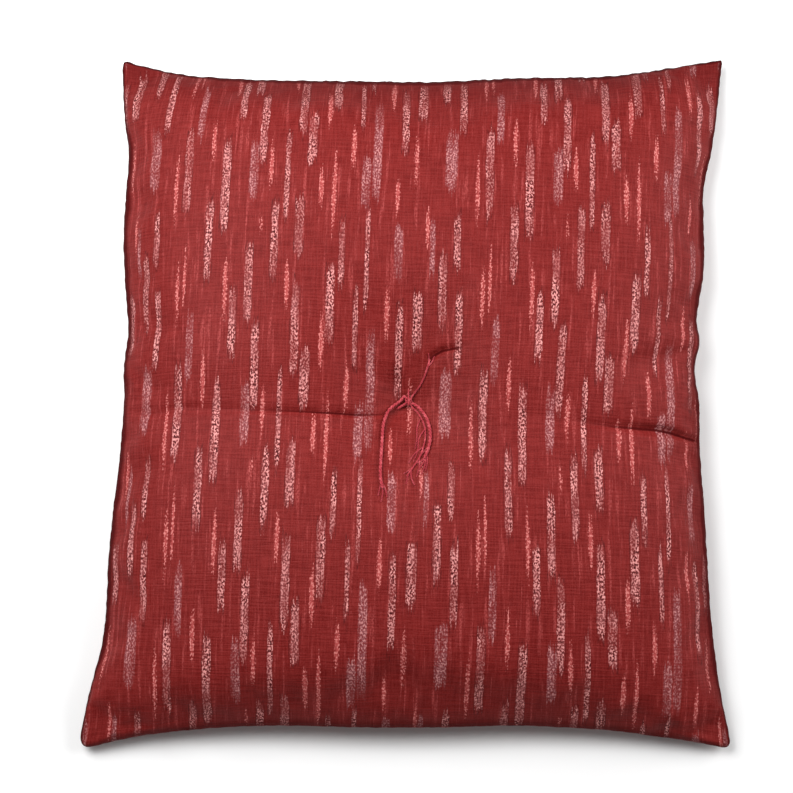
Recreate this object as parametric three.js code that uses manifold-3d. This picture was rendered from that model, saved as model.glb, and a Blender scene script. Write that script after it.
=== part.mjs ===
// A zabuton: a square Japanese floor cushion of printed cotton, filled with cotton wadding and tied
// through its middle with a thick red thread whose ends are left loose.
// Millimetres, +Z up, +Y towards the back edge, the origin under the middle of its outline.

import * as THREE from 'three';
import { mergeVertices } from 'three/addons/utils/BufferGeometryUtils.js';
import Module from 'manifold-3d';

const wasm = await Module();
wasm.setup();

// The four sewn edges, each from one corner to the next. at runs along the edge, and out is how far
// the edge lies from the middle there. The filling draws each side in between its corners.
const BACK_EDGE = [
  { at: -256, out: 301 }, { at: -230, out: 292.5 }, { at: -197, out: 284.5 }, { at: -165, out: 281 },
  { at: -133, out: 278.5 }, { at: -86, out: 277 }, { at: -38, out: 276 }, { at: 24, out: 275.5 },
  { at: 72, out: 278 }, { at: 104, out: 279.5 }, { at: 167, out: 281.5 }, { at: 199, out: 285.5 },
  { at: 231, out: 291.5 }, { at: 278, out: 301.5 },
];
const FRONT_EDGE = [
  { at: -278, out: 302 }, { at: -230, out: 290.5 }, { at: -170, out: 283.5 }, { at: -111, out: 281 },
  { at: -37, out: 282.5 }, { at: 22, out: 282.5 }, { at: 83, out: 281 }, { at: 127, out: 282.5 },
  { at: 171, out: 285.5 }, { at: 200, out: 289.5 }, { at: 230, out: 293.5 }, { at: 268, out: 301 },
];
const LEFT_EDGE = [
  { at: -302, out: 278 }, { at: -254, out: 268 }, { at: -214, out: 258 }, { at: -184, out: 255 },
  { at: -144, out: 254 }, { at: -104, out: 251 }, { at: -63, out: 247 }, { at: -8, out: 244 },
  { at: 20, out: 245 }, { at: 51, out: 242 }, { at: 94, out: 246 }, { at: 136, out: 248.5 },
  { at: 179, out: 247.5 }, { at: 212, out: 246.5 }, { at: 245, out: 251.5 }, { at: 301, out: 256 },
];
const RIGHT_EDGE = [
  { at: -301, out: 268 }, { at: -254, out: 258.5 }, { at: -214, out: 253.5 }, { at: -184, out: 251 },
  { at: -104, out: 248 }, { at: -50, out: 245.5 }, { at: -11, out: 246 }, { at: 20, out: 243 },
  { at: 41, out: 248 }, { at: 62, out: 246 }, { at: 104, out: 253.5 }, { at: 147, out: 255 },
  { at: 179, out: 256 }, { at: 212, out: 264 }, { at: 245, out: 270 }, { at: 301.5, out: 278 },
];

// The folded-in corners: how far each is blunted along its diagonal.
const CORNER_BLUNTING = [
  { side: -1, end: -1, cut: 7 }, { side: 1, end: -1, cut: 4.5 },
  { side: -1, end: 1, cut: 2.5 }, { side: 1, end: 1, cut: 1.5 },
];

// The seam that joins the two faces, and the filling above and below it.
const SEAM_THICKNESS = 3;
const SEAM_HEIGHT_MIDDLE = 24;
const SEAM_HEIGHT_CORNER = 9;
const SEAM_RISE_POWER = 2.6;
const CROWN_RISE = 50;
const CROWN_POWER = 3;
const CROWN_ROUNDNESS = 0.5;
const REST_POWER = 5;
const REST_ROUNDNESS = 0.8;
const REST_SHARE = 0.85;
const REST_CURVE = 1.5;

// The tie pulls both faces in to a pit at the middle.
const TIE = { x: -1.5, y: -13.5 };
const PIT = { depth: 25, reach: 34, tip: 7 };
const UNDER_PIT = { depth: 10, radius: 52 };

// The filling lies in two halves, with a shallow valley across the cushion between them.
const VALLEY = { y: -30, slope: -0.045, depth: 6, halfWidth: 34 };

// Creases in the cloth: straight troughs from one point to the other, deepest at the first.
const CREASES = [
  { name: 'left', x: -14, y: -24, toX: -243, toY: -22, depth: 5, endDepth: 3, halfWidth: 9 },
  { name: 'right', x: 244, y: -44, toX: 196, toY: -38, depth: 6, endDepth: 4, halfWidth: 8 },
  { name: 'right_inner', x: 196, y: -38, toX: 90, toY: -30, depth: 4, endDepth: 1, halfWidth: 9 },
  { name: 'arc', x: 10, y: 6, toX: 17, toY: 21, depth: 4, endDepth: 4.5, halfWidth: 8 },
  { name: 'arc_end', x: 17, y: 21, toX: 42, toY: 28, depth: 4.5, endDepth: 1, halfWidth: 8 },
  { name: 'back_left', x: -10, y: -8, toX: -15, toY: 35, depth: 4, endDepth: 1, halfWidth: 8 },
  { name: 'front', x: -10, y: -24, toX: -30, toY: -62, depth: 3, endDepth: 0, halfWidth: 9 },
];

// Where the wadding lies a little thicker or thinner.
const LUMPS = [
  { x: -120, y: 130, radius: 75, rise: 2.5 }, { x: 110, y: 120, radius: 80, rise: 2 },
  { x: -130, y: -140, radius: 80, rise: 1.5 }, { x: 15, y: -130, radius: 60, rise: 2.5 },
  { x: 150, y: -150, radius: 75, rise: 2 }, { x: 0, y: 190, radius: 60, rise: -2 },
  { x: -190, y: 40, radius: 55, rise: 2 }, { x: 185, y: 60, radius: 50, rise: -2 },
];

// The grid of the cushion's faces is finer at the middle and at the edges.
const STEPS_ACROSS = 44;
const STEPS_ALONG = 50;
const CROWDING = 0.58;

// The tie's thread, and the routes of its loose ends over the cloth, from the knot outwards.
const THREAD_DIAMETER = 2.8;
const THIN_THREAD_DIAMETER = 1.6;
const THREAD_SIDES = 8;
const CLEARANCE = 0.5;
const KNOT = { x: -1.5, y: -13.5, length: 8, width: 6, height: 5.4, bandTube: 1.2 };
const KNOT_SEAT = 1.0;
const KNOT_LEGS = [
  { name: 'left', x: -10.5, y: -19 }, { name: 'back', x: -1.6, y: -4.5 },
];
const THREAD_ENDS = [
  {
    name: 'tie_end_left', diameter: THREAD_DIAMETER, steps: 24, lift: 3,
    route: [
      { x: -4.9, y: -9.2 }, { x: -8.2, y: -12.3 }, { x: -11.8, y: -15.4 }, { x: -15.6, y: -18.5 },
      { x: -18.6, y: -22 }, { x: -21, y: -27.5 }, { x: -22.8, y: -35 }, { x: -23.5, y: -44 },
      { x: -24, y: -54 }, { x: -24.5, y: -64 }, { x: -25, y: -74.5 }, { x: -24.5, y: -83 },
      { x: -23, y: -90 },
    ],
  },
  {
    name: 'tie_end_right', diameter: THREAD_DIAMETER, steps: 16, lift: 3,
    route: [
      { x: 4.4, y: -16.8 }, { x: 8.5, y: -21.3 }, { x: 12.5, y: -27.3 }, { x: 15, y: -34.5 },
      { x: 16.2, y: -42 }, { x: 15.8, y: -49.5 }, { x: 13.7, y: -57.5 }, { x: 11, y: -64 },
    ],
  },
  {
    name: 'tie_end_middle', diameter: THIN_THREAD_DIAMETER, steps: 28, lift: 2.5,
    route: [
      { x: 1.5, y: -18.4 }, { x: 5.6, y: -23 }, { x: 9.4, y: -29.4 }, { x: 11.7, y: -36.5 },
      { x: 12.2, y: -44.5 }, { x: 10.6, y: -53.5 }, { x: 7.2, y: -63 }, { x: 1.5, y: -72 },
      { x: -3.5, y: -79.5 },
    ],
  },
  {
    name: 'tie_end_back', diameter: THIN_THREAD_DIAMETER, steps: 14, lift: 2,
    route: [
      { x: 1.7, y: -8.5 }, { x: 4.4, y: -5.2 }, { x: 7.3, y: -1.7 }, { x: 9.5, y: 2 },
      { x: 11.5, y: 6 }, { x: 13.2, y: 11 }, { x: 14.8, y: 16 }, { x: 16.4, y: 20 },
    ],
  },
];

const CLOTH_RED = '#9b3c39';
const THREAD_RED = '#c23a49';

// The value of a table of rows at a place, on a smooth curve through the rows.
function valueAt(rows, place) {
  const last = rows.length - 1;
  const i = THREE.MathUtils.clamp(rows.findIndex((row) => row.at > place) - 1, 0, last - 1);
  const from = place >= rows[last].at ? last - 1 : i;
  const slopeAt = (k) => {
    const before = rows[Math.max(k - 1, 0)];
    const after = rows[Math.min(k + 1, last)];
    return (after.out - before.out) / (after.at - before.at);
  };
  const span = rows[from + 1].at - rows[from].at;
  const t = THREE.MathUtils.clamp((place - rows[from].at) / span, 0, 1);
  const h = t * t * (3 - 2 * t);
  return (
    rows[from].out * (1 - h) + rows[from + 1].out * h +
    span * (t * (1 - t) ** 2 * slopeAt(from) - t * t * (1 - t) * slopeAt(from + 1))
  );
}

function bell(distance, width) {
  return Math.exp(-((distance / width) ** 2));
}

// Crowds the grid lines towards the middle and the edges. u and the result run from -1 to 1.
function crowded(u) {
  return u - (CROWDING * Math.sin(2 * Math.PI * u)) / (2 * Math.PI);
}

// The place on the outline's four edges, blended over the face. u and v run from -1 to 1.
function planPoint(u, v) {
  const s = (u + 1) / 2;
  const t = (v + 1) / 2;
  const mix = THREE.MathUtils.lerp;
  const frontX = mix(FRONT_EDGE[0].at, FRONT_EDGE.at(-1).at, s);
  const backX = mix(BACK_EDGE[0].at, BACK_EDGE.at(-1).at, s);
  const leftY = mix(LEFT_EDGE[0].at, LEFT_EDGE.at(-1).at, t);
  const rightY = mix(RIGHT_EDGE[0].at, RIGHT_EDGE.at(-1).at, t);
  const front = new THREE.Vector2(frontX, -valueAt(FRONT_EDGE, frontX));
  const back = new THREE.Vector2(backX, valueAt(BACK_EDGE, backX));
  const left = new THREE.Vector2(-valueAt(LEFT_EDGE, leftY), leftY);
  const right = new THREE.Vector2(valueAt(RIGHT_EDGE, rightY), rightY);
  const corner = (side, end) => {
    const rows = end < 0 ? FRONT_EDGE : BACK_EDGE;
    const row = side < 0 ? rows[0] : rows.at(-1);
    return new THREE.Vector2(row.at, end * row.out);
  };
  const between = (a, b, w) => a.clone().multiplyScalar(1 - w).addScaledVector(b, w);
  const corners = between(
    between(corner(-1, -1), corner(1, -1), s), between(corner(-1, 1), corner(1, 1), s), t,
  );
  const plan = between(front, back, t).add(between(left, right, s)).sub(corners);
  for (const { side, end, cut } of CORNER_BLUNTING) {
    const inwards = new THREE.Vector2(-side, -end).normalize();
    const deep = plan.clone().sub(corner(side, end)).dot(inwards);
    const blunted = Math.cbrt(Math.max(deep, 0) ** 3 + cut ** 3);
    if (deep < 6 * cut) plan.addScaledVector(inwards, blunted - deep);
  }
  return plan;
}

function seamHeight(u, v) {
  const toCorner = Math.abs(u * v) ** SEAM_RISE_POWER;
  return THREE.MathUtils.lerp(SEAM_HEIGHT_MIDDLE, SEAM_HEIGHT_CORNER, toCorner);
}

// How full the cushion is at a place: 0 on the seam and 1 over the middle.
function fullness(u, v, power, roundness) {
  return ((1 - Math.abs(u) ** power) * (1 - Math.abs(v) ** power)) ** roundness;
}

function creaseDepth(crease, x, y) {
  const alongX = crease.toX - crease.x;
  const alongY = crease.toY - crease.y;
  const length = Math.hypot(alongX, alongY);
  const share = ((x - crease.x) * alongX + (y - crease.y) * alongY) / length ** 2;
  const t = THREE.MathUtils.clamp(share, 0, 1);
  const away = Math.hypot(x - crease.x - t * alongX, y - crease.y - t * alongY);
  const depth = THREE.MathUtils.lerp(crease.depth, crease.endDepth, t);
  return depth / (1 + (away / crease.halfWidth) ** 2) ** 2;
}

// The top face: crown, lumps, valley, pit and creases.
function topHeight(u, v, x, y) {
  const full = fullness(u, v, CROWN_POWER, CROWN_ROUNDNESS);
  const toTie = Math.hypot(x - TIE.x, y - TIE.y);
  const pit = PIT.depth * Math.exp(-(Math.hypot(toTie, PIT.tip) - PIT.tip) / PIT.reach);
  const valley = VALLEY.depth * bell(y - VALLEY.y - VALLEY.slope * x, VALLEY.halfWidth);
  const lumps = LUMPS.reduce(
    (sum, l) => sum + l.rise * bell(Math.hypot(x - l.x, y - l.y), l.radius), 0,
  );
  const creases = CREASES.reduce((sum, crease) => sum + creaseDepth(crease, x, y), 0);
  const drop = pit + valley + creases - lumps;
  return seamHeight(u, v) + SEAM_THICKNESS / 2 + full * (CROWN_RISE - drop);
}

// The underside: flat where the cushion rests, rounded up to the seam, with a shallow pit at the tie.
function underHeight(u, v, x, y) {
  const full = fullness(u, v, REST_POWER, REST_ROUNDNESS);
  const lifted = Math.max(0, 1 - full / REST_SHARE) ** REST_CURVE;
  const toTie = Math.hypot(x - TIE.x, y - TIE.y) / UNDER_PIT.radius;
  const pit = UNDER_PIT.depth * Math.max(0, 1 - toTie ** 2) ** 2;
  return (seamHeight(u, v) - SEAM_THICKNESS / 2) * lifted + pit;
}

// The cushion: a finely divided box whose top and bottom are shaped as the two faces, and whose
// sides are the thin seam between them.
function cushionGeometry() {
  const box = new THREE.BoxGeometry(2, 2, 2, STEPS_ACROSS, STEPS_ALONG, 1);
  box.deleteAttribute('normal');
  box.deleteAttribute('uv');
  const geometry = mergeVertices(box);
  const position = geometry.attributes.position;
  for (let i = 0; i < position.count; i++) {
    const u = crowded(position.getX(i));
    const v = crowded(position.getY(i));
    const plan = planPoint(u, v);
    const height = position.getZ(i) > 0 ? topHeight : underHeight;
    position.setXYZ(i, plan.x, plan.y, height(u, v, plan.x, plan.y));
  }
  geometry.computeVertexNormals();
  return geometry;
}

// The height of the cushion's finished top face over a point of the plan.
function restingHeight(cushion, x, y) {
  const down = new THREE.Raycaster(new THREE.Vector3(x, y, 500), new THREE.Vector3(0, 0, -1));
  return down.intersectObject(cushion)[0].point.z;
}

function roundSection(diameter) {
  const corners = Array.from({ length: THREAD_SIDES }, (_, i) => {
    const angle = (2 * Math.PI * i) / THREAD_SIDES;
    return new THREE.Vector2(Math.cos(angle), Math.sin(angle)).multiplyScalar(diameter / 2);
  });
  return new THREE.Shape(corners);
}

function tube(points, diameter, steps) {
  return new THREE.ExtrudeGeometry(roundSection(diameter), {
    steps, extrudePath: new THREE.CatmullRomCurve3(points), bevelEnabled: false,
  });
}

// A loose end leaves the knot a little above the cloth and then lies on it.
function threadEndGeometry(cushion, end) {
  const flat = new THREE.CatmullRomCurve3(end.route.map(({ x, y }) => new THREE.Vector3(x, y, 0)));
  const radius = end.diameter / 2;
  const points = flat.getSpacedPoints(end.steps).map((p, i) => {
    const around = [[0, 0], [radius, 0], [-radius, 0], [0, radius], [0, -radius]];
    const ground = Math.max(...around.map(([dx, dy]) => restingHeight(cushion, p.x + dx, p.y + dy)));
    const lift = end.lift * Math.max(0, 1 - (i * 4) / end.steps) ** 2;
    return new THREE.Vector3(p.x, p.y, ground + radius + CLEARANCE + lift);
  });
  return tube(points, end.diameter, end.steps * 2);
}

function toSolid(geometry) {
  const bare = new THREE.BufferGeometry().setAttribute('position', geometry.getAttribute('position'));
  if (geometry.index) bare.setIndex(geometry.index);
  const merged = mergeVertices(bare);
  return new wasm.Manifold(new wasm.Mesh({
    numProp: 3,
    vertProperties: merged.attributes.position.array,
    triVerts: new Uint32Array(merged.index.array),
  }));
}

function toGeometry(solid) {
  const { vertProperties, triVerts } = solid.getMesh();
  const geometry = new THREE.BufferGeometry();
  geometry.setAttribute('position', new THREE.BufferAttribute(vertProperties, 3));
  geometry.setIndex(new THREE.BufferAttribute(triVerts, 1));
  geometry.computeVertexNormals();
  return geometry;
}

// The knot: a tight lump wrapped by two bands of thread, with the two short stitches that run
// from it into the cloth.
function knotGeometry(cushion) {
  const ground = restingHeight(cushion, KNOT.x, KNOT.y);
  const middle = new THREE.Vector3(KNOT.x, KNOT.y, ground + KNOT.height / 2 + KNOT_SEAT);
  const lump = new THREE.SphereGeometry(0.5, 16, 12);
  lump.scale(KNOT.length, KNOT.width, KNOT.height);
  const wrap = (radius, turn, lean) => {
    const ring = new THREE.TorusGeometry(radius, KNOT.bandTube, 8, 20);
    ring.rotateY(Math.PI / 2);
    ring.rotateZ(turn);
    ring.rotateX(lean);
    return ring;
  };
  const bands = [wrap(KNOT.height / 2 - 0.6, 0.35, 0.2), wrap(KNOT.height / 2 - 0.7, -0.9, -0.2)];
  let solid = toSolid(lump);
  for (const band of bands) solid = solid.add(toSolid(band));
  solid = solid.translate(middle.x, middle.y, middle.z);
  for (const leg of KNOT_LEGS) {
    const points = [0, 0.35, 0.7, 1].map((t) => {
      const x = THREE.MathUtils.lerp(middle.x, leg.x, t);
      const y = THREE.MathUtils.lerp(middle.y, leg.y, t);
      const seat = restingHeight(cushion, x, y) + THREAD_DIAMETER / 2 + CLEARANCE + 0.4;
      return new THREE.Vector3(x, y, Math.max(seat, middle.z - t * KNOT.height));
    });
    solid = solid.add(toSolid(tube(points, THREAD_DIAMETER, 6)));
  }
  return toGeometry(solid);
}

function named(name, geometry, color, roughness) {
  const mesh = new THREE.Mesh(
    geometry, new THREE.MeshStandardMaterial({ color, roughness, metalness: 0 }),
  );
  mesh.name = name;
  return mesh;
}

const zabuton = new THREE.Group();
const cushion = named('cushion', cushionGeometry(), CLOTH_RED, 0.9);
zabuton.add(cushion);
zabuton.add(named('tie_knot', knotGeometry(cushion), THREAD_RED, 0.75));
for (const end of THREAD_ENDS) {
  zabuton.add(named(end.name, threadEndGeometry(cushion, end), THREAD_RED, 0.75));
}

export default zabuton;
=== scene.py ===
"""A zabuton: a square floor cushion of streaked red cotton, filled with cotton wadding and tied
through its middle with thick red thread. Metres, +Z up, +Y towards the back edge."""

import math

import bpy
import numpy as np
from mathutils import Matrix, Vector
from mathutils.bvhtree import BVHTree


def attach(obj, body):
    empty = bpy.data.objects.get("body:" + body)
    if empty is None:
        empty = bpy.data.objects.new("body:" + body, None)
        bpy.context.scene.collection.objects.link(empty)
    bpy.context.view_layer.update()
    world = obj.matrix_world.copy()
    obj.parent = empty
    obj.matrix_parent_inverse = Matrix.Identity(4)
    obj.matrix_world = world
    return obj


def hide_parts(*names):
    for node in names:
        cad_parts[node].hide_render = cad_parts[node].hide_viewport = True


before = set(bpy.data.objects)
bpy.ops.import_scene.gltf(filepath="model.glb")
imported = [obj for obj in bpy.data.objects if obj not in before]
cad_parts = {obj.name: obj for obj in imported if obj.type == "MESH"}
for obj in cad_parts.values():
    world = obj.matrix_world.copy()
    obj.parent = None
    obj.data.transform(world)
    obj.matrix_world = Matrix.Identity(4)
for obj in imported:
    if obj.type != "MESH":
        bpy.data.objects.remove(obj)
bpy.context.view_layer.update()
MM = 0.001

# The view: a camera over the cushion that leans back about ten degrees, as someone kneeling in
# front of it would look down on it.
CAMERA_PLACE = Vector((-0.0118, -0.2572, 1.4986))
CAMERA_AIM = Vector((-0.0118, -0.0045, 0.020))
CAMERA_LENS = 79.67

bpy.ops.object.camera_add(location=CAMERA_PLACE)
camera = bpy.context.object
camera.rotation_euler = (CAMERA_AIM - CAMERA_PLACE).to_track_quat("-Z", "Y").to_euler()
camera.data.lens = CAMERA_LENS
camera.data.sensor_width = 36
camera.data.clip_start = 0.01
bpy.context.scene.camera = camera


# The filled cover: two faces of printed cotton cut from one length, folded at the front edge and
# sewn along the other three. The wadding crowns it and draws its sides in between the corners.
# It is a fine grid of both faces, shaped by functions and then let swell and pucker as cloth.

# The four edges, in millimetres, each from one corner to the next: how far along, and how far out.
BACK_EDGE = [
    (-256, 301), (-230, 292.5), (-197, 284.5), (-165, 281), (-133, 278.5), (-86, 277), (-38, 276),
    (24, 275.5), (72, 278), (104, 279.5), (167, 281.5), (199, 285.5), (231, 291.5), (278, 301.5),
]
FRONT_EDGE = [
    (-278, 302), (-230, 290.5), (-170, 283.5), (-111, 281), (-37, 282.5), (22, 282.5), (83, 281),
    (127, 282.5), (171, 285.5), (200, 289.5), (230, 293.5), (268, 301),
]
LEFT_EDGE = [
    (-302, 278), (-254, 268), (-214, 258), (-184, 255), (-144, 254), (-104, 251), (-63, 247),
    (-8, 244), (20, 245), (51, 242), (94, 246), (136, 248.5), (179, 247.5), (212, 246.5),
    (245, 251.5), (301, 256),
]
RIGHT_EDGE = [
    (-301, 268), (-254, 258.5), (-214, 253.5), (-184, 251), (-104, 248), (-50, 245.5), (-11, 246),
    (20, 243), (41, 248), (62, 246), (104, 253.5), (147, 255), (179, 256), (212, 264),
    (245, 270), (301.5, 278),
]
# The corners: side, end, and how far each is blunted along its diagonal.
CORNER_BLUNTING = [(-1, -1, 7), (1, -1, 4.5), (-1, 1, 2.5), (1, 1, 1.5)]

# How high the seam runs, how full the crown is, and how the underside lifts off the floor.
SEAM_HEIGHT_MIDDLE = 24
SEAM_HEIGHT_CORNER = 9
SEAM_RISE_POWER = 2.6
CROWN_RISE = 50
CROWN_POWER = 3
CROWN_ROUNDNESS = 0.5
REST_POWER = 5
REST_ROUNDNESS = 0.8
REST_SHARE = 0.85
REST_CURVE = 1.5

# The tie pulls both faces in to a pit, and a shallow valley crosses the top face beside it.
TIE = np.array([-1.5, -13.5])
PIT_DEPTH, PIT_REACH, PIT_TIP = 25, 34, 7
UNDER_PIT_DEPTH, UNDER_PIT_RADIUS = 10, 52
VALLEY_Y, VALLEY_SLOPE, VALLEY_DEPTH, VALLEY_HALF_WIDTH = -30, -0.045, 6, 34

# Creases from one point to another: x, y, to x, to y, depth at each end, half width.
CREASES = [
    (-14, -24, -243, -22, 2.2, 1, 6),
    (244, -44, 196, -38, 4, 2.5, 7),
    (196, -38, 90, -30, 2.5, 0.5, 8),
    (10, 6, 17, 21, 2, 2.5, 6),
    (17, 21, 42, 28, 2.5, 1, 6),
    (-44, 8, -9, 4, 4, 5, 10),
    (-10, -8, -15, 35, 4, 1, 8),
    (-10, -24, -30, -62, 3, 0, 9),
]
# Where a crease is nipped to a sharp fold: half width, and x, y, depth of each point along it.
FOLDS = [
    (2.0, [
        (-162, -23, 0), (-130, -23.8, 0.8), (-100, -24.8, 1.8), (-70, -26, 2.4), (-45, -26.5, 2.4),
        (-28, -25.5, 1.4), (-14, -22, 0.6),
    ]),
    (2.4, [
        (136, -33, 0), (152, -35.2, 0.8), (170, -37.2, 1.8), (190, -37.9, 2.6), (206, -38.3, 3.6),
        (220, -40.2, 4.6), (232, -43, 5), (240, -44, 4),
    ]),
    (2.2, [
        (13, 12, 0), (15, 18, 1), (19.5, 23.3, 2.2), (27, 26.8, 3.2), (36, 28, 3.2), (44, 28.5, 0),
    ]),
]
# Thicker and thinner places in the wadding: x, y, radius, rise.
LUMPS = [
    (-120, 130, 75, 2.5), (110, 120, 80, 2), (-130, -140, 80, 1.5), (15, -130, 60, 2.5),
    (150, -150, 75, 2), (0, 190, 60, -2), (-190, 40, 55, 2), (185, 60, 50, -2), (-38, 22, 40, -4),
    (55, -25, 40, 3),
]

# The grid of each face, with its lines crowded at the seams and at the middle.
FACES_ACROSS = 104
FACES_ALONG = 114
CROWDING = 0.4


def along_rows(rows, place):
    """The value of a table at each place, on a smooth curve through its rows."""
    at, out = np.array(rows, float).T
    slope = np.gradient(out, at)
    slope[1:-1] = (out[2:] - out[:-2]) / (at[2:] - at[:-2])
    i = np.clip(np.searchsorted(at, place, side="right") - 1, 0, len(at) - 2)
    span = at[i + 1] - at[i]
    t = np.clip((place - at[i]) / span, 0, 1)
    h = t * t * (3 - 2 * t)
    bend = t * (1 - t) ** 2 * slope[i] - t * t * (1 - t) * slope[i + 1]
    return out[i] * (1 - h) + out[i + 1] * h + span * bend


def mix(a, b, share):
    return a + (b - a) * share


def bell(distance, width):
    return np.exp(-((distance / width) ** 2))


def plan_of(u, v):
    """The place in plan of a point of the cover, blended from the four edges."""
    s, t = (u + 1) / 2, (v + 1) / 2
    front_x = mix(FRONT_EDGE[0][0], FRONT_EDGE[-1][0], s)
    back_x = mix(BACK_EDGE[0][0], BACK_EDGE[-1][0], s)
    left_y = mix(LEFT_EDGE[0][0], LEFT_EDGE[-1][0], t)
    right_y = mix(RIGHT_EDGE[0][0], RIGHT_EDGE[-1][0], t)
    front = np.stack([front_x, -along_rows(FRONT_EDGE, front_x)], 1)
    back = np.stack([back_x, along_rows(BACK_EDGE, back_x)], 1)
    left = np.stack([-along_rows(LEFT_EDGE, left_y), left_y], 1)
    right = np.stack([along_rows(RIGHT_EDGE, right_y), right_y], 1)
    s, t = s[:, None], t[:, None]
    corner = {
        (side, end): np.array([rows[row][0], end * rows[row][1]], float)
        for end, rows in ((-1, FRONT_EDGE), (1, BACK_EDGE))
        for side, row in ((-1, 0), (1, -1))
    }
    corners = mix(
        mix(corner[-1, -1], corner[1, -1], s), mix(corner[-1, 1], corner[1, 1], s), t
    )
    plan = mix(front, back, t) + mix(left, right, s) - corners
    for side, end, cut in CORNER_BLUNTING:
        inwards = np.array([-side, -end]) / math.sqrt(2)
        deep = (plan - corner[side, end]) @ inwards
        blunted = np.cbrt(np.maximum(deep, 0) ** 3 + cut ** 3)
        plan += np.where(deep < 6 * cut, blunted - deep, 0)[:, None] * inwards
    return plan


def seam_height(u, v):
    return mix(SEAM_HEIGHT_MIDDLE, SEAM_HEIGHT_CORNER, np.abs(u * v) ** SEAM_RISE_POWER)


def fullness(u, v, power, roundness):
    return ((1 - np.abs(u) ** power) * (1 - np.abs(v) ** power)) ** roundness


def crease_depth(x, y):
    depth = np.zeros_like(x)
    for from_x, from_y, to_x, to_y, first, last, half_width in CREASES:
        along = np.array([to_x - from_x, to_y - from_y], float)
        share = ((x - from_x) * along[0] + (y - from_y) * along[1]) / (along @ along)
        t = np.clip(share, 0, 1)
        away = np.hypot(x - from_x - t * along[0], y - from_y - t * along[1])
        depth += mix(first, last, t) / (1 + (away / half_width) ** 2) ** 2
    return depth


def top_height(u, v, x, y):
    """The top face: crown, pit, valley, creases and lumps."""
    to_tie = np.hypot(x - TIE[0], y - TIE[1])
    drop = PIT_DEPTH * np.exp(-(np.hypot(to_tie, PIT_TIP) - PIT_TIP) / PIT_REACH)
    drop += VALLEY_DEPTH * bell(y - VALLEY_Y - VALLEY_SLOPE * x, VALLEY_HALF_WIDTH)
    drop += crease_depth(x, y)
    for lump_x, lump_y, radius, rise in LUMPS:
        drop -= rise * bell(np.hypot(x - lump_x, y - lump_y), radius)
    full = fullness(u, v, CROWN_POWER, CROWN_ROUNDNESS)
    return seam_height(u, v) + full * (CROWN_RISE - drop)


def under_height(u, v, x, y):
    lifted = np.maximum(0, 1 - fullness(u, v, REST_POWER, REST_ROUNDNESS) / REST_SHARE)
    to_tie = np.hypot(x - TIE[0], y - TIE[1]) / UNDER_PIT_RADIUS
    pit = UNDER_PIT_DEPTH * np.maximum(0, 1 - to_tie ** 2) ** 2
    return seam_height(u, v) * lifted ** REST_CURVE + pit


def coordinates(mesh):
    co = np.zeros(len(mesh.vertices) * 3, np.float32)
    mesh.vertices.foreach_get("co", co)
    return co.reshape(-1, 3).astype(float)


def set_coordinates(mesh, co):
    mesh.vertices.foreach_set("co", co.astype(np.float32).ravel())
    mesh.update()


def vertex_values(mesh, name, values):
    mesh.attributes.new(name, "FLOAT", "POINT").data.foreach_set("value", values.astype(np.float32))


bpy.ops.object.select_all(action="DESELECT")
bpy.ops.mesh.primitive_grid_add(x_subdivisions=FACES_ACROSS, y_subdivisions=FACES_ALONG, size=2)
cushion = bpy.context.object
cushion.name = "cover"
bpy.ops.object.mode_set(mode="EDIT")
bpy.ops.mesh.select_all(action="SELECT")
bpy.ops.mesh.duplicate()
bpy.ops.mesh.flip_normals()
bpy.ops.transform.translate(value=(0, 0, -1))
bpy.ops.object.mode_set(mode="OBJECT")

# Each layer is shaped as its face, and the two are sewn together where their rims meet.
flat = coordinates(cushion.data)
u, v = (w - CROWDING * np.sin(2 * np.pi * w) / (2 * np.pi) for w in flat[:, :2].T)
plan = plan_of(u, v)
is_top = flat[:, 2] > -0.5
height = np.where(is_top, top_height(u, v, *plan.T), under_height(u, v, *plan.T))
shape = np.column_stack([plan, height]) * MM
set_coordinates(cushion.data, shape)
vertex_values(cushion.data, "across", u)
vertex_values(cushion.data, "along", v)


# The cloth's own coordinates run along its weft and its warp from the middle of each face, over the
# plain crown, and a little askew, as it was laid on the wadding.
def run_along(points, axis):
    """How far along the cloth each point of each row lies, told from the middle of the cushion."""
    steps = np.linalg.norm(np.diff(points, axis=1), axis=2)
    run = np.pad(np.cumsum(steps, axis=1), ((0, 0), (1, 0)))
    middle = run.shape[1] // 2
    return run + (points[:, middle, axis] - run[:, middle])[:, None]


# How far it lies askew: a shift, and a drift for each 100 mm of weft and of warp.
ASKEW_ACROSS = (-1.2, 2.6, -2.7)
ASKEW_ALONG = (2.6, 1.98, 2.12)
# Where it has slipped further: x, y, radius, how far across.
SLIPS = [
    (135, -45, 85, 4.2), (225, 165, 75, -2.4), (225, -240, 75, -2.6), (-30, 225, 60, -1.6),
    (-215, 305, 50, -8), (165, -300, 70, -4.5), (255, 225, 55, -3.5), (255, 85, 50, -2.5),
    (250, -190, 45, -2), (160, 305, 85, -5.5),
]

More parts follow.
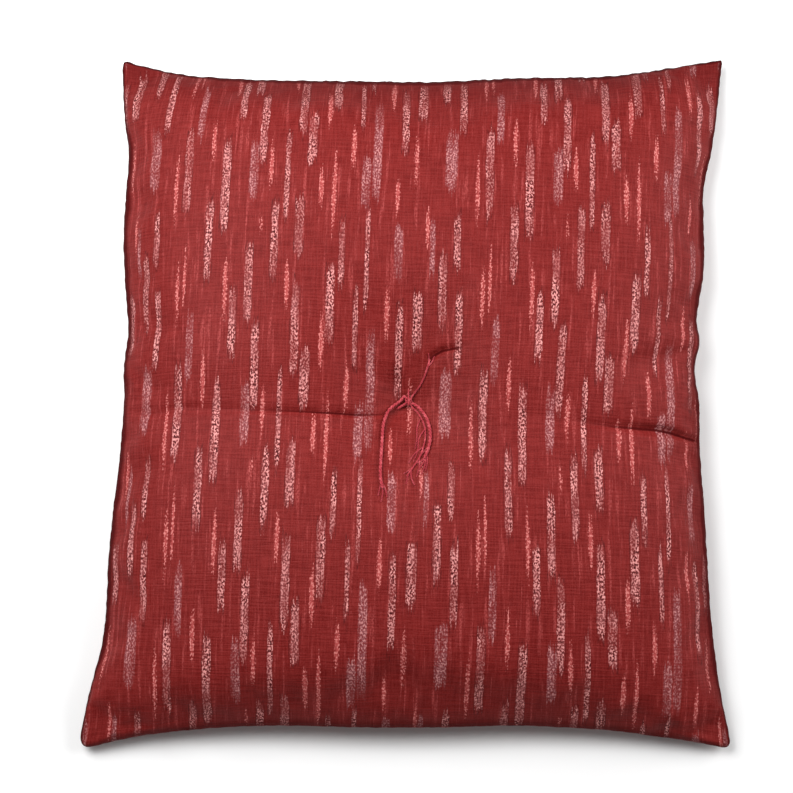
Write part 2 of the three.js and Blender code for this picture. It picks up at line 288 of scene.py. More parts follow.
crown = seam_height(u, v) + fullness(u, v, CROWN_POWER, CROWN_ROUNDNESS) * CROWN_RISE
smooth_shape = np.column_stack([plan, np.where(is_top, crown, 0)])
cloth = np.zeros((len(flat), 2))
for layer in (is_top, ~is_top):
    which = np.flatnonzero(layer)
    rows = which[np.lexsort((flat[which, 0], flat[which, 1].round(6)))]
    rows = rows.reshape(FACES_ALONG + 1, FACES_ACROSS + 1)
    cloth[rows, 0] = run_along(smooth_shape[rows], 0)
    cloth[rows.T, 1] = run_along(smooth_shape[rows.T], 1)
weft, warp = cloth.T / 100
drift = np.column_stack([np.ones_like(weft), weft, warp])
cloth[:, 0] += drift @ ASKEW_ACROSS
cloth[:, 1] += drift @ ASKEW_ALONG
for x, y, radius, slip in SLIPS:
    cloth[:, 0] += slip * bell(np.hypot(plan[:, 0] - x, plan[:, 1] - y), radius)
cloth *= MM
corner_vertex = np.zeros(len(cushion.data.loops), np.int32)
cushion.data.loops.foreach_get("vertex_index", corner_vertex)
cushion.data.uv_layers[0].name = "cloth"
cushion.data.uv_layers[0].data.foreach_set("uv", cloth[corner_vertex].astype(np.float32).ravel())

bpy.ops.object.mode_set(mode="EDIT")
bpy.ops.mesh.select_all(action="SELECT")
bpy.ops.mesh.remove_doubles(threshold=1e-5)
bpy.ops.object.mode_set(mode="OBJECT")


def vertex_normals(mesh):
    normal = np.zeros(len(mesh.vertices) * 3, np.float32)
    mesh.vertices.foreach_get("normal", normal)
    return normal.reshape(-1, 3).astype(float)


def values_of(mesh, name):
    values = np.zeros(len(mesh.vertices), np.float32)
    mesh.attributes[name].data.foreach_get("value", values)
    return values.astype(float)


# The cloth swells and puckers between the seam, the tie and the flat underside, which hold it.
# It moves no further than the limit, and mostly outwards: only a share of its drift along the
# surface is kept.
SWELL_PRESSURE = 4
SPARE_CLOTH = 0.02
SWELL_LIMIT = 6
SWELL_FRAMES = 20
SWELL_DRIFT = 0.15
# What is held: the rim, a circle round the tie, and the cloth that touches the floor.
RIM = 0.9999
TIE_GRIP = 8
RESTING_HEIGHT = 0.5

held_shape = coordinates(cushion.data)
u, v = values_of(cushion.data, "across"), values_of(cushion.data, "along")
at_rim = np.maximum(np.abs(u), np.abs(v)) > RIM
at_tie = np.hypot(*(held_shape[:, :2] / MM - TIE).T) < TIE_GRIP
resting = held_shape[:, 2] < RESTING_HEIGHT * MM
grip = cushion.vertex_groups.new(name="held")
grip.add(np.flatnonzero(at_rim | at_tie | resting).tolist(), 1.0, "REPLACE")
swell = cushion.modifiers.new("swell", "CLOTH")
swell.settings.quality = 5
swell.settings.mass = 0.3
swell.settings.tension_stiffness = 15
swell.settings.compression_stiffness = 15
swell.settings.shear_stiffness = 5
swell.settings.bending_stiffness = 0.5
swell.settings.use_pressure = True
swell.settings.uniform_pressure_force = SWELL_PRESSURE
swell.settings.vertex_group_mass = "held"
swell.settings.shrink_min = -SPARE_CLOTH
swell.settings.effector_weights.gravity = 0
swell.collision_settings.use_collision = False
for number in range(1, SWELL_FRAMES + 1):
    bpy.context.scene.frame_set(number)
swollen = cushion.evaluated_get(bpy.context.evaluated_depsgraph_get())
move = coordinates(swollen.to_mesh()) - held_shape
swollen.to_mesh_clear()
cushion.modifiers.remove(swell)
cushion.vertex_groups.clear()
bpy.context.scene.frame_set(1)
outwards = vertex_normals(cushion.data)
out = (move * outwards).sum(axis=1, keepdims=True) * outwards
move = out + (move - out) * SWELL_DRIFT
far = np.linalg.norm(move, axis=1, keepdims=True)
limit = SWELL_LIMIT * MM
move *= limit * np.tanh(far / limit) / np.maximum(far, 1e-9)
swollen_shape = held_shape + move
swollen_shape[:, 2] = np.maximum(swollen_shape[:, 2], 0)
set_coordinates(cushion.data, swollen_shape)

# The mesh is made finer. The subdivision takes its creases from this attribute, and with them the
# rim stays sharp.
edge_ends = np.array([edge.vertices for edge in cushion.data.edges])
sharp = (at_rim[edge_ends].all(axis=1)).astype(np.float32)
cushion.data.attributes.new("crease_edge", "FLOAT", "EDGE").data.foreach_set("value", sharp)
subdivide = cushion.modifiers.new("finer", "SUBSURF")
subdivide.levels = 1
subdivide.render_levels = 1
bpy.ops.object.modifier_apply(modifier=subdivide.name)
bpy.ops.object.shade_smooth()


# The thread pulls the cloth into a fine ruffle along the back seam, and a slighter one along the
# sides and the fold.
RUFFLE = 0.5
SIDE_SHARE, FOLD_SHARE = 0.55, 0.35
RUFFLE_REACH = 8
# Lengths that turn a place's share of a face into millimetres along an edge and in from it.
SIDE_HALF_LENGTH, END_HALF_LENGTH = 297, 270
MIDDLE_TO_SIDE, MIDDLE_TO_END = 258, 288
# Painted shade: the cloth is darker in the seam line, and softly so further in, along the back and
# along the right side from the front to a little past its middle. The mesh carries this painted
# shade as "deep".
SEAM_LINE_WIDTH, SEAM_LINE_BLUR = 3.6, 1.6
FOLD_LINE_STRENGTH = 0.4
SIDE_SHADE, SIDE_SHADE_REACH, SIDE_SHADE_UP_TO = 0.45, 9, 0.3
BACK_SHADE, BACK_SHADE_REACH = 0.42, 30

mesh = cushion.data
shape = coordinates(mesh)
u, v = values_of(mesh, "across"), values_of(mesh, "along")
side_run, end_run = v * SIDE_HALF_LENGTH, u * END_HALF_LENGTH
to_side, to_end = (1 - np.abs(u)) * MIDDLE_TO_SIDE, (1 - np.abs(v)) * MIDDLE_TO_END


def ruffles(run, face):
    """Uneven gathers along an edge: sines whose lengths don't fit into each other."""
    slow = np.sin(run / 17.1 + face) * np.sin(run / 31.7 + 2.1 * face)
    fine = np.sin(run / 1.83 + 3 * slow + face) * (0.65 + 0.35 * slow)
    return fine + 0.5 * np.sin(run / 4.3 - face)


def away_from(points, x, y):
    """How far each place is from a line through points, and where along the line it is nearest."""
    nearest, position = np.full(len(x), np.inf), np.zeros(len(x))
    for i, (start, end) in enumerate(zip(points, points[1:])):
        along = np.subtract(end, start)
        t = np.clip(((x - start[0]) * along[0] + (y - start[1]) * along[1]) / (along @ along), 0, 1)
        away = np.hypot(x - start[0] - t * along[0], y - start[1] - t * along[1])
        position = np.where(away < nearest, i + t, position)
        nearest = np.minimum(away, nearest)
    return nearest, position


normal = vertex_normals(mesh)
folded = np.zeros(len(shape))
for half_width, points in FOLDS:
    points = np.array(points, float)
    away, position = away_from(points[:, :2], *(shape[:, :2] / MM).T)
    depth = np.interp(position, np.arange(len(points)), points[:, 2])
    folded = np.maximum(folded, depth * bell(away, half_width) * (normal[:, 2] > 0))
face_phase = np.where(normal[:, 2] > 0, 0.0, 1.9)
end_share = np.where(v < 0, FOLD_SHARE, 1.0)
side_ruffle = ruffles(side_run, face_phase + (u > 0))
end_ruffle = ruffles(end_run, face_phase + 3 * (v > 0))
lift = RUFFLE * SIDE_SHARE * np.exp(-to_side / RUFFLE_REACH) * side_ruffle
lift += RUFFLE * end_share * np.exp(-to_end / RUFFLE_REACH) * end_ruffle
free = shape[:, 2] > RESTING_HEIGHT * MM
shape += normal * ((lift - folded) * free * MM)[:, None]
shape[:, 2] = np.maximum(shape[:, 2], 0)
set_coordinates(mesh, shape)
# The painted shade: a dark line in the seam and at the front fold, and softer painted shade in from
# the back and the right side.
side_line, end_line = (
    np.clip((SEAM_LINE_WIDTH - to_rim) / SEAM_LINE_BLUR, 0, 1) for to_rim in (to_side, to_end)
)
shaded_side = SIDE_SHADE * bell(to_side, SIDE_SHADE_REACH) * ((u > 0) & (v < SIDE_SHADE_UP_TO))
shaded_back = BACK_SHADE * bell(to_end, BACK_SHADE_REACH) * (v > 0)
seam_shade = np.maximum(side_line, end_line * np.where(v > 0, 1, FOLD_LINE_STRENGTH))
vertex_values(mesh, "deep", np.maximum(seam_shade, np.maximum(shaded_side, shaded_back)))


class Nodes:
    """A material's nodes, made one after another. An input is a number, a colour or a socket."""

    def __init__(self, name):
        self.material = bpy.data.materials.new(name)
        self.material.use_nodes = True
        self.tree = self.material.node_tree
        self.shader = self.tree.nodes["Principled BSDF"]

    def add(self, kind, inputs=(), output=0, **settings):
        node = self.tree.nodes.new(kind)
        for key, value in settings.items():
            setattr(node, key, value)
        for key, value in dict(inputs).items():
            self.put(node.inputs[key], value)
        return node.outputs[output]

    def put(self, socket, value):
        if isinstance(value, bpy.types.NodeSocket):
            self.tree.links.new(value, socket)
        else:
            socket.default_value = value

    def math(self, operation, a, b=0.0, c=0.0, clamp=False):
        return self.add(
            "ShaderNodeMath", {0: a, 1: b, 2: c}, operation=operation, use_clamp=clamp
        )

    def vector(self, operation, a, b=(0, 0, 0), c=(0, 0, 0), output="Vector"):
        return self.add(
            "ShaderNodeVectorMath", {0: a, 1: b, 2: c}, output, operation=operation
        )

    def mixed(self, share, a, b):
        return self.add("ShaderNodeMix", {"Factor": share, 6: a, 7: b}, 2, data_type="RGBA")

    def noise(self, where, scale, detail=2.0, rough=0.5, output="Fac"):
        inputs = {"Vector": where, "Scale": scale, "Detail": detail, "Roughness": rough}
        return self.add("ShaderNodeTexNoise", inputs, output)

    def ramp(self, value, low, high, to_low=0.0, to_high=1.0):
        inputs = {"Value": value, "From Min": low, "From Max": high}
        inputs.update({"To Min": to_low, "To Max": to_high})
        return self.add("ShaderNodeMapRange", inputs, interpolation_type="SMOOTHSTEP")


# The print: rain of brushed streaks along the warp, which repeats across and along the cloth.
# Millimetres in one repeat: across, first, last (towards the front), width and strength.
REPEAT = (262, 214)
PRINT_START = (-213.5, 53.7)
# How freely the brush wanders across a streak, and runs over or short at its ends.
BRUSH_WANDER = 2.0
BRUSH_OVERRUN = 34.0
CREAM_STREAKS = [
    (35.8, 2, 74, 6.8, 0.65), (48.2, 160, 246, 7.2, 1.0), (59.2, 81, 139, 6.3, 0.85),
    (71.8, 41, 108, 6.8, 1.0), (92.5, 4, 75, 6.2, 0.85), (101.3, 151, 235, 4.6, 0.9),
    (113.3, -2, 51, 7.5, 0.85), (112.3, 76, 155, 7.2, 0.85), (141.3, 58, 128, 7.6, 0.85),
    (150.3, 18, 79, 5.0, 0.75), (172.0, 9, 96, 4.0, 0.9), (163.5, 79, 146, 4.2, 0.75),
    (201.3, 93, 171, 6.3, 0.8), (216.7, 82, 132, 8.6, 0.85), (237.6, 49, 112, 6.8, 0.75),
    (249.2, 12, 61, 5.8, 0.9), (252.4, 80, 150, 6.4, 0.95), (14.0, 147, 228, 7.0, 0.85),
    (79.4, 108, 183, 6.8, 0.85), (121.5, 132, 182, 8.0, 0.8),
]
LILAC_STREAKS = [
    (168.6, 176, 223, 8.0, 0.65), (199.0, 23, 72, 7.8, 0.7), (228.0, 17.5, 67, 4.8, 0.6),
    (22.7, 101, 159, 6.5, 0.7), (72.4, 162, 216, 8.2, 0.65), (177.5, 113, 217, 8.0, 0.6),
    (242.9, 147, 204, 11, 0.65),
]
SALMON_STREAKS = [
    (10.0, 57, 112, 3.5, 0.6), (15.9, 41, 102, 2.4, 0.75), (52.0, 54, 111, 3.5, 0.8),
    (80.8, 15, 31, 2.5, 0.35), (104.5, 55, 99, 3.4, 0.95), (130.8, 186, 225, 3.8, 0.9),
    (141.8, 172, 245, 3.2, 0.85), (190.3, 79, 122, 4.0, 0.85), (196.5, 195, 229, 3.4, 0.9),
    (223.4, 7, 44, 3.0, 0.9), (3.9, 172, 235, 3.3, 0.65), (35.6, 136, 183, 3.5, 0.75),
    (87.3, 162, 205, 3.6, 0.8), (134.7, 104, 149, 3.8, 0.95), (156.7, 144, 186, 3.8, 0.85),
    (212.0, 153, 201, 4.0, 0.5),
]
BRIGHTER_RED = (0.186, 0.0088, 0.0068, 1)
DARKER_RED = (0.110, 0.0026, 0.0020, 1)
LINT = (0.31, 0.056, 0.055, 1)
CREAM = (0.70, 0.290, 0.275, 1)
MIDTONE = (0.300, 0.080, 0.080, 1)
LILAC = (0.235, 0.070, 0.076, 1)
SALMON = (0.36, 0.058, 0.055, 1)
PALE_SALMON = (0.58, 0.180, 0.165, 1)
SHADE_RED = (0.048, 0.0026, 0.0030, 1)
# The deep red of the painted shade in the seams and folds.
PAINTED_SHADE_RED = (0.055, 0.0012, 0.0014, 1)

n = Nodes("streaked_cotton")
cloth_uv = n.add("ShaderNodeUVMap", uv_map="cloth")
printed = n.add(
    "ShaderNodeMapping",
    {
        "Vector": cloth_uv,
        "Location": (-PRINT_START[0], PRINT_START[1], 0),
        "Scale": (1 / MM, 1 / MM, 1),
    },
)
sideways = n.vector("SUBTRACT", n.noise(printed, 0.35, 3, 0.75, "Color"), (0.5, 0.5, 0.5))
lengthways = n.noise(n.vector("MULTIPLY", printed, (0.9, 0.03, 0)), 1.0, 2, 0.6, "Color")
lengthways = n.vector("SUBTRACT", lengthways, (0.5, 0.5, 0.5))
brushed = n.vector("MULTIPLY_ADD", sideways, (BRUSH_WANDER, 0, 0), printed)
brushed = n.vector("MULTIPLY_ADD", lengthways, (0, BRUSH_OVERRUN, 0), brushed)


def streaks(rows, wider, square):
    """How strongly the streaks of a table colour the cloth: up to 1, and below 0 beside them.

    A square streak has nearly straight sides and blunt ends, and any other one is an oval.
    """
    strongest = None
    half = (REPEAT[0] / 2, REPEAT[1] / 2, 1)
    for across, first, last, width, strength in rows:
        middle = (across, -(first + last) / 2, 0)
        away = n.vector("SUBTRACT", brushed, middle)
        away = n.vector("WRAP", away, half, tuple(-h for h in half))
        away = n.vector("MULTIPLY", away, (2 / (width * wider), 2 / (last - first), 0))
        squared = n.vector("MULTIPLY", away, away)
        if square:
            squared = n.vector("MULTIPLY", squared, squared)
            away = n.vector("MULTIPLY_ADD", squared, (0, 1, 0), (1, 0, 0))
            reach = n.vector("DOT_PRODUCT", squared, away, output="Value")
        else:
            reach = n.vector("DOT_PRODUCT", squared, (1, 1, 0), output="Value")
        here = n.math("MULTIPLY_ADD", reach, -strength, strength)
        strongest = here if strongest is None else n.math("MAXIMUM", strongest, here)
    return strongest


cream = streaks(CREAM_STREAKS, wider=1.07, square=True)
lilac = streaks(LILAC_STREAKS, wider=1.08, square=True)
salmon = streaks(SALMON_STREAKS, wider=1.25, square=False)

# The brush's own marks, from the finest specks to patches where the colour has run dry.
bristles = n.noise(n.vector("MULTIPLY", printed, (0.75, 0.05, 0)), 1.0, 1)
speckle = n.noise(n.vector("MULTIPLY", printed, (0.74, 0.48, 0)), 1.0, 1, 0.5)
speckle = n.math("MULTIPLY_ADD", n.math("SUBTRACT", bristles, 0.5), 0.3, speckle)
blots = n.noise(n.vector("MULTIPLY", printed, (0.45, 0.25, 0)), 1.0, 2, 0.6)
haze = n.ramp(n.noise(n.vector("MULTIPLY", printed, (0.05, 0.04, 0)), 1.0, 2, 0.6), 0.42, 0.60)
worn = n.noise(n.vector("MULTIPLY", printed, (0.30, 0.05, 0)), 1.0, 2, 0.6)
faded = n.noise(n.vector("MULTIPLY", printed, (0.11, 0.03, 0)), 1.0, 1)
faded = n.ramp(faded, 0.36, 0.58, 0.35, 1.0)
strokes = n.noise(n.vector("MULTIPLY", printed, (0.26, 0.016, 0)), 1.0, 3, 0.65)
# The plain weave's uneven threads and its lint colour the ground.
warps = n.noise(n.vector("MULTIPLY", printed, (0.70, 0.045, 0)), 1.0, 1, 0.5)
wefts = n.noise(n.vector("MULTIPLY", printed, (0.045, 0.70, 0)), 1.0, 1, 0.5)
mottle = n.noise(printed, 0.05, 3, 0.6)
grain = n.noise(printed, 0.80, 2, 0.85)
warp_slubs = n.ramp(warps, 0.34, 0.66, 0.03, 0.34)
weft_slubs = n.ramp(wefts, 0.34, 0.66, 0.03, 0.39)
slubs = n.math("ADD", warp_slubs, weft_slubs)
bright = n.math("MULTIPLY_ADD", mottle, 0.6, n.math("SUBTRACT", slubs, 0.2))
ground = n.mixed(bright, DARKER_RED, BRIGHTER_RED)
lint = n.math("MULTIPLY_ADD", slubs, 0.2, n.ramp(grain, 0.3, 0.7, -0.06, 0.16))
ground = n.mixed(n.math("MAXIMUM", lint, 0.0), ground, LINT)

# Thin stray strokes lie on the ground, and over them lilac, cream and salmon in turn.
stroke_specks = n.ramp(speckle, 0.38, 0.62, 0.15, 0.75)
stroke_share = n.math("MULTIPLY", n.ramp(strokes, 0.53, 0.68), stroke_specks)
ground = n.mixed(stroke_share, ground, SALMON)
lilac_share = n.math("MULTIPLY", n.ramp(lilac, 0.0, 0.6), faded)
lilac_specks = n.math("MULTIPLY", lilac_share, n.ramp(speckle, 0.34, 0.54, 0.2, 1.0))
colour = n.mixed(lilac_specks, ground, LILAC)
lilac_lights = n.math("MULTIPLY", lilac_share, n.ramp(speckle, 0.53, 0.62, 0.0, 0.6))
colour = n.mixed(lilac_lights, colour, CREAM)
cream_share = n.ramp(n.math("MULTIPLY_ADD", n.math("SUBTRACT", worn, 0.55), 2.0, cream), 0.0, 0.5)
cream_share = n.math("MULTIPLY", cream_share, faded)
clear = n.math("MULTIPLY_ADD", haze, -0.35, 1.0)
light_specks = n.math("MULTIPLY", n.ramp(speckle, 0.512, 0.585), clear)
dark_specks = n.math("MULTIPLY", n.ramp(speckle, 0.466, 0.39), clear)
cream_ground = n.math("MULTIPLY", cream_share, n.ramp(haze, 0.0, 1.0, 0.55, 0.85))
colour = n.mixed(cream_ground, colour, MIDTONE)
colour = n.mixed(n.math("MULTIPLY", cream_share, light_specks), colour, CREAM)
colour = n.mixed(n.math("MULTIPLY", cream_share, dark_specks), colour, SHADE_RED)
beside = n.math("MULTIPLY", n.ramp(cream, -1.1, -0.2), n.ramp(cream, 0.3, -0.1))
beside = n.math("MULTIPLY", beside, n.ramp(warps, 0.42, 0.60, 0.0, 0.7))
colour = n.mixed(beside, colour, SHADE_RED)
ragged = n.math("MULTIPLY_ADD", n.math("SUBTRACT", speckle, 0.5), 1.6, salmon)
salmon_share = n.ramp(ragged, 0.0, 0.6)
salmon_blots = n.math("MULTIPLY", salmon_share, n.ramp(blots, 0.30, 0.50, 0.4, 1.0))
colour = n.mixed(salmon_blots, colour, SALMON)
salmon_lights = n.math("MULTIPLY", salmon_share, n.ramp(speckle, 0.52, 0.60))
colour = n.mixed(salmon_lights, colour, PALE_SALMON)

# The painted shade of the seams comes with the mesh. A fold adds a thin line of painted shade along
# its points, which is full where the fold is deep and fades out with it. The line reaches over a
# share of the fold's half width, and its core is in millimetres.
FOLD_LINE_SHARE, FOLD_LINE_CORE = 0.75, 0.3
FULL_FOLD_DEPTH = 2.5
DARKEST_PAINTED_SHADE = 0.95
deep = n.add("ShaderNodeAttribute", {}, "Fac", attribute_name="deep")
where = n.vector("MULTIPLY", n.add("ShaderNodeTexCoord", {}, "Object"), (1 / MM, 1 / MM, 0))
where = n.vector("MULTIPLY_ADD", sideways, (0.0, 1.2, 0.0), where)
for half_width, points in FOLDS:
    for (x, y, depth), (next_x, next_y, next_depth) in zip(points, points[1:]):
        ahead = (next_x - x, next_y - y, 0)
        length = math.hypot(*ahead)
        away = n.vector("SUBTRACT", where, (x, y, 0))
        share = n.vector("DOT_PRODUCT", away, tuple(w / length ** 2 for w in ahead), output="Value")
        share = n.math("ADD", share, 0.0, clamp=True)
        nearest = n.add("ShaderNodeCombineXYZ", {0: share, 1: share})
        away = n.vector("SUBTRACT", away, n.vector("MULTIPLY", nearest, ahead))
        distance = n.vector("LENGTH", away, output="Value")
        shade = n.ramp(distance, half_width * FOLD_LINE_SHARE, FOLD_LINE_CORE)
        first, rise = depth / FULL_FOLD_DEPTH, (next_depth - depth) / FULL_FOLD_DEPTH
        strength = n.math("MULTIPLY_ADD", share, rise, first, clamp=True)
        deep = n.math("MAXIMUM", deep, n.math("MULTIPLY", shade, strength))
# The painted shade of the seams and fold lines darkens the colour towards a deep red.
colour = n.mixed(n.math("MINIMUM", deep, DARKEST_PAINTED_SHADE), colour, PAINTED_SHADE_RED)
n.put(n.shader.inputs["Base Color"], colour)
n.put(n.shader.inputs["Roughness"], n.ramp(deep, 0.0, 0.8, 0.6, 1.0))
n.shader.inputs["Specular IOR Level"].default_value = 0.10
weave = n.math("ADD", warps, wefts)
bump = n.add("ShaderNodeBump", {"Height": weave, "Distance": 0.0005, "Strength": 0.7})
n.put(n.shader.inputs["Normal"], bump)

cushion.data.materials.clear()
cushion.data.materials.append(n.material)
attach(cushion, "root")
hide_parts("cushion")


# The tie: soft cotton thread as thick as string, sewn through the middle and knotted over the pit.
# It is two plies loosely twisted together, with a fuzz of fine fibres. The knot is pulled tight.
THREAD_DIAMETER = 2.8
THIN_THREAD_DIAMETER = 1.6
TWIST_PITCH = 7
# A ply's distance from the thread's middle and its radius, as shares of the thread's diameter, and
# how much of that radius is left at the tip.
PLY_OFFSET, PLY_RADIUS, TIP_SHARE = 0.215, 0.29, 0.75
# The two stitches at the knot: where each comes to the cloth, and the radius of its plies.
KNOT_LEGS = [(-10.5, -19, 0.75), (-1.6, -4.5, 0.5)]

cover_top = BVHTree.FromObject(cushion, bpy.context.evaluated_depsgraph_get())
random = np.random.default_rng(7)


def cloth_under(x, y):
    """The height of the cloth under a point of the plan, all in millimetres."""
    place, _, _, _ = cover_top.ray_cast(Vector((x, y, 200)) * MM, Vector((0, 0, -1)))
    return place.z / MM


def smooth_line(points, step=0.8):
    """Points every step along a smooth line through the given ones."""
    points = np.array(points, float)
    at = np.append(0, np.cumsum(np.linalg.norm(np.diff(points, axis=0), axis=1)))
    slope = np.gradient(points, at, axis=0)
    place = np.linspace(0, at[-1], max(4, round(at[-1] / step)) + 1)
    i = np.clip(np.searchsorted(at, place, side="right") - 1, 0, len(at) - 2)
    span = (at[i + 1] - at[i])[:, None]
    t = (place - at[i])[:, None] / span
    h = t * t * (3 - 2 * t)
    bend = t * (1 - t) ** 2 * slope[i] - t * t * (1 - t) * slope[i + 1]
    return points[i] * (1 - h) + points[i + 1] * h + span * bend


def laid(route, diameter, lift=0.0):
    """A route over the plan, laid on the cloth. Its first quarter is lifted, towards the knot."""
    line = smooth_line(route)
    reach = diameter / 2
    around = [(0, 0), (reach, 0), (-reach, 0), (0, reach), (0, -reach)]
    ground = np.array([max(cloth_under(x + dx, y + dy) for dx, dy in around) for x, y in line])
    padded = np.pad(ground, 3, mode="edge")
    ground = np.maximum(ground, np.convolve(padded, np.ones(7) / 7, mode="valid"))
    rise = lift * np.maximum(0, 1 - np.linspace(0, 4, len(line))) ** 2
    return np.column_stack([line, ground + reach + rise])


def round_about(line, radius, pitch, phase):
    """A line that winds round another one."""
    ahead = np.gradient(line, axis=0)
    ahead /= np.linalg.norm(ahead, axis=1, keepdims=True)
    side = np.cross(ahead, (0.05, 0.02, 1))
    side /= np.linalg.norm(side, axis=1, keepdims=True)
    over = np.cross(side, ahead)
    run = np.append(0, np.cumsum(np.linalg.norm(np.diff(line, axis=0), axis=1)))
    turn = (2 * np.pi * run / pitch + phase)[:, None]
    return line + radius * (np.cos(turn) * side + np.sin(turn) * over)


def twisted(line, diameter):
    """Two plies twisted together and thinned at the end, as strands of a line and its radii."""
    taper = np.clip(np.linspace(len(line) / 5, 0, len(line)), TIP_SHARE, 1)
    return [
        (
            round_about(line, diameter * PLY_OFFSET, TWIST_PITCH, phase),
            taper * diameter * PLY_RADIUS,
        )
        for phase in (0, np.pi)
    ]


def fuzz(line, diameter, count):
    """Short fine fibres that stand off a thread."""
    fibres = []
    for start in random.integers(2, len(line) - 6, count):
        part = line[start:start + 5]
        outwards = random.normal(0, 1, 3)
        outwards *= diameter * random.uniform(0.2, 0.55) / np.linalg.norm(outwards)
        lean = np.linspace(0.7, 1.7, 5)[:, None] * outwards
        lean[:, 2] = np.abs(lean[:, 2])
        fibres.append((part + lean, np.linspace(0.09, 0.03, 5)))
    return fibres


def spun(name, strands):
    """One mesh of round strands, each a line in millimetres with its radii."""
    curve = bpy.data.curves.new(name, "CURVE")
    curve.dimensions = "3D"
    curve.bevel_depth = MM
    curve.bevel_resolution = 2
    curve.use_fill_caps = True
    for line, radii in strands:
        spline = curve.splines.new("POLY")
        spline.points.add(len(line) - 1)
        places = np.column_stack([line * MM, np.ones(len(line))])
        spline.points.foreach_set("co", places.ravel())
        spline.points.foreach_set("radius", radii)
    thread = bpy.data.objects.new(name, curve)
    bpy.context.collection.objects.link(thread)
    bpy.ops.object.select_all(action="DESELECT")
    thread.select_set(True)
    bpy.context.view_layer.objects.active = thread
    bpy.ops.object.convert(target="MESH")
    bpy.ops.object.shade_smooth()
    return bpy.context.object


DARK_CRIMSON = (0.29, 0.018, 0.028, 1)
CRIMSON = (0.47, 0.046, 0.064, 1)
HIGHLIGHT_CRIMSON = (0.64, 0.12, 0.14, 1)

n = Nodes("crimson_thread")
place = n.add("ShaderNodeTexCoord", {}, "Object")
fibre = n.noise(place, 2600, 3, 0.7)
# Pale patches at random places are painted highlight on the thread.
highlight_patches = n.noise(place, 160, 2, 0.5)
colour = n.mixed(n.ramp(fibre, 0.3, 0.7), DARK_CRIMSON, CRIMSON)
colour = n.mixed(n.math("MULTIPLY", n.ramp(highlight_patches, 0.45, 0.7), 0.6), colour, HIGHLIGHT_CRIMSON)
n.put(n.shader.inputs["Base Color"], colour)
n.shader.inputs["Roughness"].default_value = 0.75
n.shader.inputs["Specular IOR Level"].default_value = 0.2
n.shader.inputs["Sheen Weight"].default_value = 0.25
n.shader.inputs["Sheen Tint"].default_value = (1.0, 0.45, 0.45, 1)
bump = n.add("ShaderNodeBump", {"Height": fibre, "Distance": 0.0003, "Strength": 0.7})
n.put(n.shader.inputs["Normal"], bump)
thread_material = n.material


def of_thread(piece):
    piece.data.materials.clear()
    piece.data.materials.append(thread_material)
    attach(piece, "root")
    return piece


# The knot is a trefoil of thread with a band round it. Its middle is this high over the cloth.
KNOT_HEIGHT = 3.6
KNOT_PLY_RADIUS = 0.62
knot_middle = np.array([*TIE, cloth_under(*TIE) + KNOT_HEIGHT])
t = np.linspace(0, 2 * np.pi, 90)
loop = np.column_stack([
    1.35 * (np.sin(t) + 2 * np.sin(2 * t)) / 1.6,
    1.0 * (np.cos(t) - 2 * np.cos(2 * t)) / 1.6,
    -1.15 * np.sin(3 * t),
])
band = np.column_stack([0.5 * np.sin(t) - 0.3, 2.7 * np.cos(t), 2.3 * np.sin(t)])
knot_strands = []
for line in (loop + knot_middle, band + knot_middle):
    knot_strands += [
        (
            round_about(line, radius=0.42, pitch=5.0, phase=phase),
            np.full(len(line), KNOT_PLY_RADIUS),
        )
        for phase in (0, np.pi)
    ]
for x, y, ply_radius in KNOT_LEGS:
    leg = smooth_line([
        knot_middle,
        [mix(TIE[0], x, 0.5), mix(TIE[1], y, 0.5), knot_middle[2] - 0.3],
        [x, y, cloth_under(x, y) + 1.0],
        [x + (x - TIE[0]) * 0.2, y + (y - TIE[1]) * 0.2, cloth_under(x, y) - 2],
    ], step=0.6)
    for phase in (0, np.pi):
        ply = round_about(leg, radius=0.4, pitch=4.5, phase=phase)
        knot_strands.append((ply, np.full(len(leg), ply_radius)))
knot_strands += fuzz(loop + knot_middle, diameter=2.4, count=50)
knot = of_thread(spun("knot", knot_strands))
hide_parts("tie_knot")


# The loose ends of the tie, cut by hand and left lying on the cloth: two thick ones that curve
# towards the front, a thinner one beside them and a short thin one towards the back.
# Each is the thread's diameter, its route in millimetres, and the CAD piece that it replaces.
ENDS = {
    "end_left": (THREAD_DIAMETER, [
        (-4.9, -9.2), (-8.2, -12.3), (-11.8, -15.4), (-15.6, -18.5), (-18.6, -22), (-21, -27.5),
        (-22.8, -35), (-23.5, -44), (-24, -54), (-24.5, -64), (-25, -74.5), (-24.5, -83),
        (-23, -90),
    ], "tie_end_left"),
    "end_right": (THREAD_DIAMETER, [
        (4.4, -16.8), (8.5, -21.3), (12.5, -27.3), (15, -34.5), (16.2, -42), (15.8, -49.5),
        (13.7, -57.5), (11, -64),
    ], "tie_end_right"),
    "end_middle": (THIN_THREAD_DIAMETER, [
        (1.5, -18.4), (5.6, -23), (9.4, -29.4), (11.7, -36.5), (12.2, -44.5), (10.6, -53.5),
        (7.2, -63), (1.5, -72), (-3.5, -79.5),
    ], "tie_end_middle"),
    "end_back": (THIN_THREAD_DIAMETER, [
        (1.7, -8.5), (4.4, -5.2), (7.3, -1.7), (9.5, 2), (11.5, 6), (13.2, 11), (14.8, 16),
        (16.4, 20),
    ], "tie_end_back"),
}
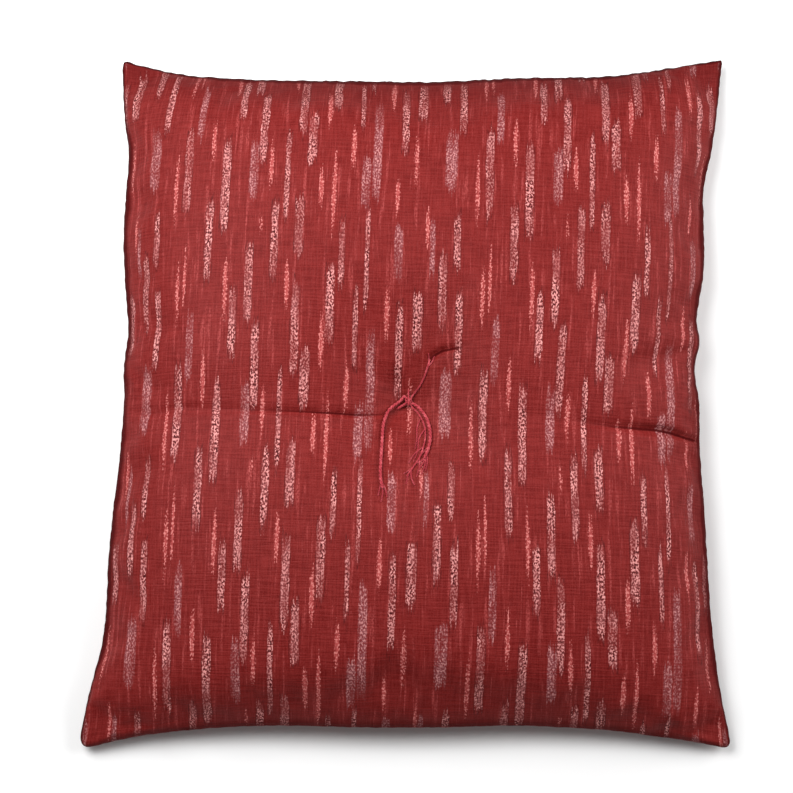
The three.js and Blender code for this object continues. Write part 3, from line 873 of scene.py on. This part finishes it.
# The fibres that each end frays into, by their routes in millimetres.
FRAYED_FIBRES = {
    "end_left": [
        [(-24, -84), (-21, -90), (-19.5, -97)], [(-24, -82), (-25.5, -90), (-27, -96)],
        [(-23.5, -86), (-23, -93), (-24.5, -101)],
    ],
    "end_right": [
        [(12.5, -61), (10, -68), (5.5, -75)], [(13, -59), (13.5, -67), (12, -75)],
        [(12, -62), (9, -66), (3, -69)], [(12, -62), (11.5, -70), (8.5, -78)],
        [(14.5, -54), (10, -59), (5, -67)],
    ],
    "end_middle": [
        [(1.5, -72), (-2, -78), (-4, -86)], [(3, -70), (-1, -74), (-6, -77)],
        [(0, -74), (0.5, -81), (3, -87)], [(7, -63), (7, -71), (4.5, -80)],
        [(10.5, -54), (4, -59), (-2, -68)], [(12, -38), (7, -46), (5.5, -58), (2, -67)],
        [(9, -27), (5.5, -36), (5, -47), (3.5, -56)],
    ],
    "end_back": [[(14, 14), (18, 18), (20, 23)], [(14.5, 15), (15.5, 20), (15, 25)]],
}

for name, (diameter, route, node) in ENDS.items():
    start = mix(TIE, np.array(route[0]), 0.45)
    lift = knot_middle[2] - cloth_under(*start) - diameter / 2
    line = laid([start, *route], diameter, lift)
    fibre_count = round(len(line) * 1.2)
    end = of_thread(spun(name, twisted(line, diameter) + fuzz(line, diameter, fibre_count)))
    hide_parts(node)
    fibres = []
    for fibre_route in FRAYED_FIBRES[name]:
        fibre_line = laid(fibre_route, diameter=0.8)
        thinning = np.linspace(0.34, 0.14, len(fibre_line))
        for phase in (0, 2.1, 4.2):
            strand = round_about(fibre_line, radius=0.4, pitch=11.0, phase=phase)
            fibres.append((strand, thinning))
    fray = of_thread(spun("fray_of_" + name, fibres))
    path = line * MM
    length = float(np.linalg.norm(np.diff(path, axis=0), axis=1).sum())


# The floor and the soft studio light: a broad lamp up on the left, a weaker one on the right and
# a pale room.
bpy.ops.object.select_all(action="DESELECT")
bpy.ops.mesh.primitive_plane_add(size=12)
floor = bpy.context.object
floor.name = "floor"
n = Nodes("pale_floor")
n.shader.inputs["Base Color"].default_value = (0.86, 0.86, 0.86, 1)
n.shader.inputs["Roughness"].default_value = 0.9
n.shader.inputs["Specular IOR Level"].default_value = 0.1
floor.data.materials.append(n.material)

# Each lamp's place, and its power in watts. Both are turned to the middle of the floor.
LAMPS = [((-0.55, 0.38, 0.95), 18.5), ((1.0, 0.30, 0.75), 13.5)]
LAMP_SIZE = 0.8
for place, power in LAMPS:
    bpy.ops.object.light_add(type="AREA", location=place)
    lamp = bpy.context.object
    lamp.rotation_euler = (-Vector(place)).to_track_quat("-Z", "Y").to_euler()
    lamp.data.size = LAMP_SIZE
    lamp.data.energy = power

world = bpy.data.worlds.new("pale_room")
bpy.context.scene.world = world
world.use_nodes = True
world.node_tree.nodes["Background"].inputs["Color"].default_value = (1, 1, 1, 1)
world.node_tree.nodes["Background"].inputs["Strength"].default_value = 0.18
bpy.context.scene.view_settings.view_transform = "Standard"
